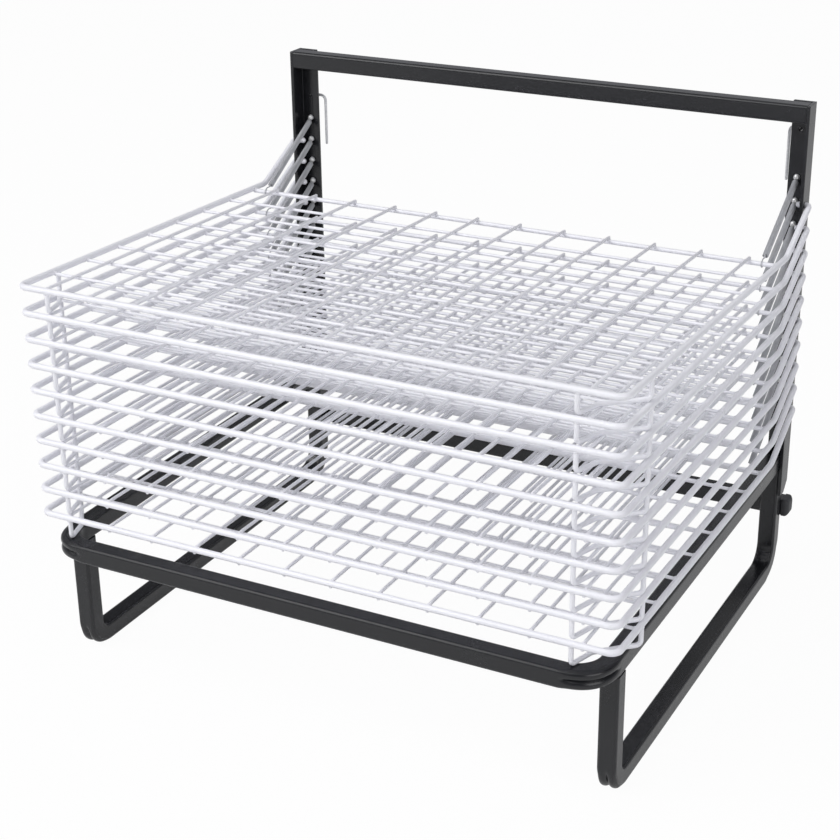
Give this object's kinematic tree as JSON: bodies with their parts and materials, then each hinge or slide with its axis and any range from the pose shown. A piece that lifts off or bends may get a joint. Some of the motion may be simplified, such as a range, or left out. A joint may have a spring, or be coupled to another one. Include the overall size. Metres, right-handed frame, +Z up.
{
  "type": "drying rack",
  "caption": "Table-top drying rack: black steel frame on sled legs with a stack of hinged white wire shelves, each carried by a pair of tension springs.",
  "frame": {"origin": "on the surface the legs stand on, midway between the two sides and midway between the platform's front face and the back of the end caps", "axes": "+X to the right of someone facing the open front of the rack, +Y from the front to the uprights at the back, +Z up"},
  "size_m": [0.4702, 0.4142, 0.404],
  "materials": {
    "black_coated_steel": "satin black powder coat",
    "black_plastic": "moulded black plastic",
    "white_coated_wire": "glossy white plastic coat on steel wire",
    "zinc_springs": "bright zinc-plated spring wire",
    "zinc_studs": "bright zinc-plated stud",
    "galvanised_wire": "galvanised wire"
  },
  "bodies": {
    "frame": {"left_upright": "black_coated_steel", "right_upright": "black_coated_steel", "top_bar": "black_coated_steel", "base_platform": "black_coated_steel", "left_sled_leg": "black_coated_steel", "right_sled_leg": "black_coated_steel", "rear_crossbar": "black_coated_steel", "left_end_cap": "black_plastic", "right_end_cap": "black_plastic", "spring_studs": "zinc_studs", "spring_pair_01": "zinc_springs", "spring_pair_02": "zinc_springs", "spring_pair_03": "zinc_springs", "spring_pair_04": "zinc_springs", "spring_pair_05": "zinc_springs", "spring_pair_06": "zinc_springs", "spring_pair_07": "zinc_springs", "spring_pair_08": "zinc_springs", "spring_pair_09": "zinc_springs", "spring_pair_10": "zinc_springs"},
    "left_latch": {"left_latch_wire": "galvanised_wire"},
    "right_latch": {"right_latch_wire": "galvanised_wire"},
    "shelf_01": {"shelf_01_rim": "white_coated_wire", "shelf_01_mesh": "white_coated_wire", "shelf_01_feet": "white_coated_wire"},
    "shelf_02": {"shelf_02_rim": "white_coated_wire", "shelf_02_mesh": "white_coated_wire", "shelf_02_feet": "white_coated_wire"},
    "shelf_03": {"shelf_03_rim": "white_coated_wire", "shelf_03_mesh": "white_coated_wire", "shelf_03_feet": "white_coated_wire"},
    "shelf_04": {"shelf_04_rim": "white_coated_wire", "shelf_04_mesh": "white_coated_wire", "shelf_04_feet": "white_coated_wire"},
    "shelf_05": {"shelf_05_rim": "white_coated_wire", "shelf_05_mesh": "white_coated_wire", "shelf_05_feet": "white_coated_wire"},
    "shelf_06": {"shelf_06_rim": "white_coated_wire", "shelf_06_mesh": "white_coated_wire", "shelf_06_feet": "white_coated_wire"},
    "shelf_07": {"shelf_07_rim": "white_coated_wire", "shelf_07_mesh": "white_coated_wire", "shelf_07_feet": "white_coated_wire"},
    "shelf_08": {"shelf_08_rim": "white_coated_wire", "shelf_08_mesh": "white_coated_wire", "shelf_08_feet": "white_coated_wire"},
    "shelf_09": {"shelf_09_rim": "white_coated_wire", "shelf_09_mesh": "white_coated_wire", "shelf_09_feet": "white_coated_wire"},
    "shelf_10": {"shelf_10_rim": "white_coated_wire", "shelf_10_mesh": "white_coated_wire", "shelf_10_feet": "white_coated_wire"}
  },
  "joints": [
    {"name": "shelf_01_hinge", "type": "hinge", "parent": "frame", "child": "shelf_01", "pos_m": [0, 0.18475, 0.3244], "axis": [-1, 0, 0], "range_deg": [0, 100], "deforming": ["spring_pair_01"]},
    {"name": "shelf_02_hinge", "type": "hinge", "parent": "frame", "child": "shelf_02", "pos_m": [0, 0.18475, 0.30535], "axis": [-1, 0, 0], "range_deg": [0, 92], "deforming": ["spring_pair_02"]},
    {"name": "shelf_03_hinge", "type": "hinge", "parent": "frame", "child": "shelf_03", "pos_m": [0, 0.18475, 0.2863], "axis": [-1, 0, 0], "range_deg": [0, 86.2], "deforming": ["spring_pair_03"]},
    {"name": "shelf_04_hinge", "type": "hinge", "parent": "frame", "child": "shelf_04", "pos_m": [0, 0.18475, 0.26725], "axis": [-1, 0, 0], "range_deg": [0, 82], "deforming": ["spring_pair_04"]},
    {"name": "shelf_05_hinge", "type": "hinge", "parent": "frame", "child": "shelf_05", "pos_m": [0, 0.18475, 0.2482], "axis": [-1, 0, 0], "range_deg": [0, 78.8], "deforming": ["spring_pair_05"]},
    {"name": "shelf_06_hinge", "type": "hinge", "parent": "frame", "child": "shelf_06", "pos_m": [0, 0.18475, 0.22915], "axis": [-1, 0, 0], "range_deg": [0, 76], "deforming": ["spring_pair_06"]},
    {"name": "shelf_07_hinge", "type": "hinge", "parent": "frame", "child": "shelf_07", "pos_m": [0, 0.18475, 0.2101], "axis": [-1, 0, 0], "range_deg": [0, 73.4], "deforming": ["spring_pair_07"]},
    {"name": "shelf_08_hinge", "type": "hinge", "parent": "frame", "child": "shelf_08", "pos_m": [0, 0.18475, 0.19105], "axis": [-1, 0, 0], "range_deg": [0, 71], "deforming": ["spring_pair_08"]},
    {"name": "shelf_09_hinge", "type": "hinge", "parent": "frame", "child": "shelf_09", "pos_m": [0, 0.18475, 0.172], "axis": [-1, 0, 0], "range_deg": [0, 68.7], "deforming": ["spring_pair_09"]},
    {"name": "shelf_10_hinge", "type": "hinge", "parent": "frame", "child": "shelf_10", "pos_m": [0, 0.18475, 0.15295], "axis": [-1, 0, 0], "range_deg": [0, 66.5], "deforming": ["spring_pair_10"]},
    {"name": "left_latch_swivel", "type": "hinge", "parent": "frame", "child": "left_latch", "pos_m": [-0.2196, 0.19445, 0.36295], "axis": [0, -1, 0], "range_deg": [0, 75]},
    {"name": "right_latch_swivel", "type": "hinge", "parent": "frame", "child": "right_latch", "pos_m": [0.2196, 0.19445, 0.382], "axis": [0, 1, 0], "range_deg": [0, 75]}
  ],
  "couplings": [
    {"joint": "shelf_02_hinge", "follows": "shelf_01_hinge", "ratio": 0.92},
    {"joint": "shelf_03_hinge", "follows": "shelf_01_hinge", "ratio": 0.862},
    {"joint": "shelf_04_hinge", "follows": "shelf_01_hinge", "ratio": 0.82},
    {"joint": "shelf_05_hinge", "follows": "shelf_01_hinge", "ratio": 0.788},
    {"joint": "shelf_06_hinge", "follows": "shelf_01_hinge", "ratio": 0.76},
    {"joint": "shelf_07_hinge", "follows": "shelf_01_hinge", "ratio": 0.734},
    {"joint": "shelf_08_hinge", "follows": "shelf_01_hinge", "ratio": 0.71},
    {"joint": "shelf_09_hinge", "follows": "shelf_01_hinge", "ratio": 0.687},
    {"joint": "shelf_10_hinge", "follows": "shelf_01_hinge", "ratio": 0.665}
  ]
}
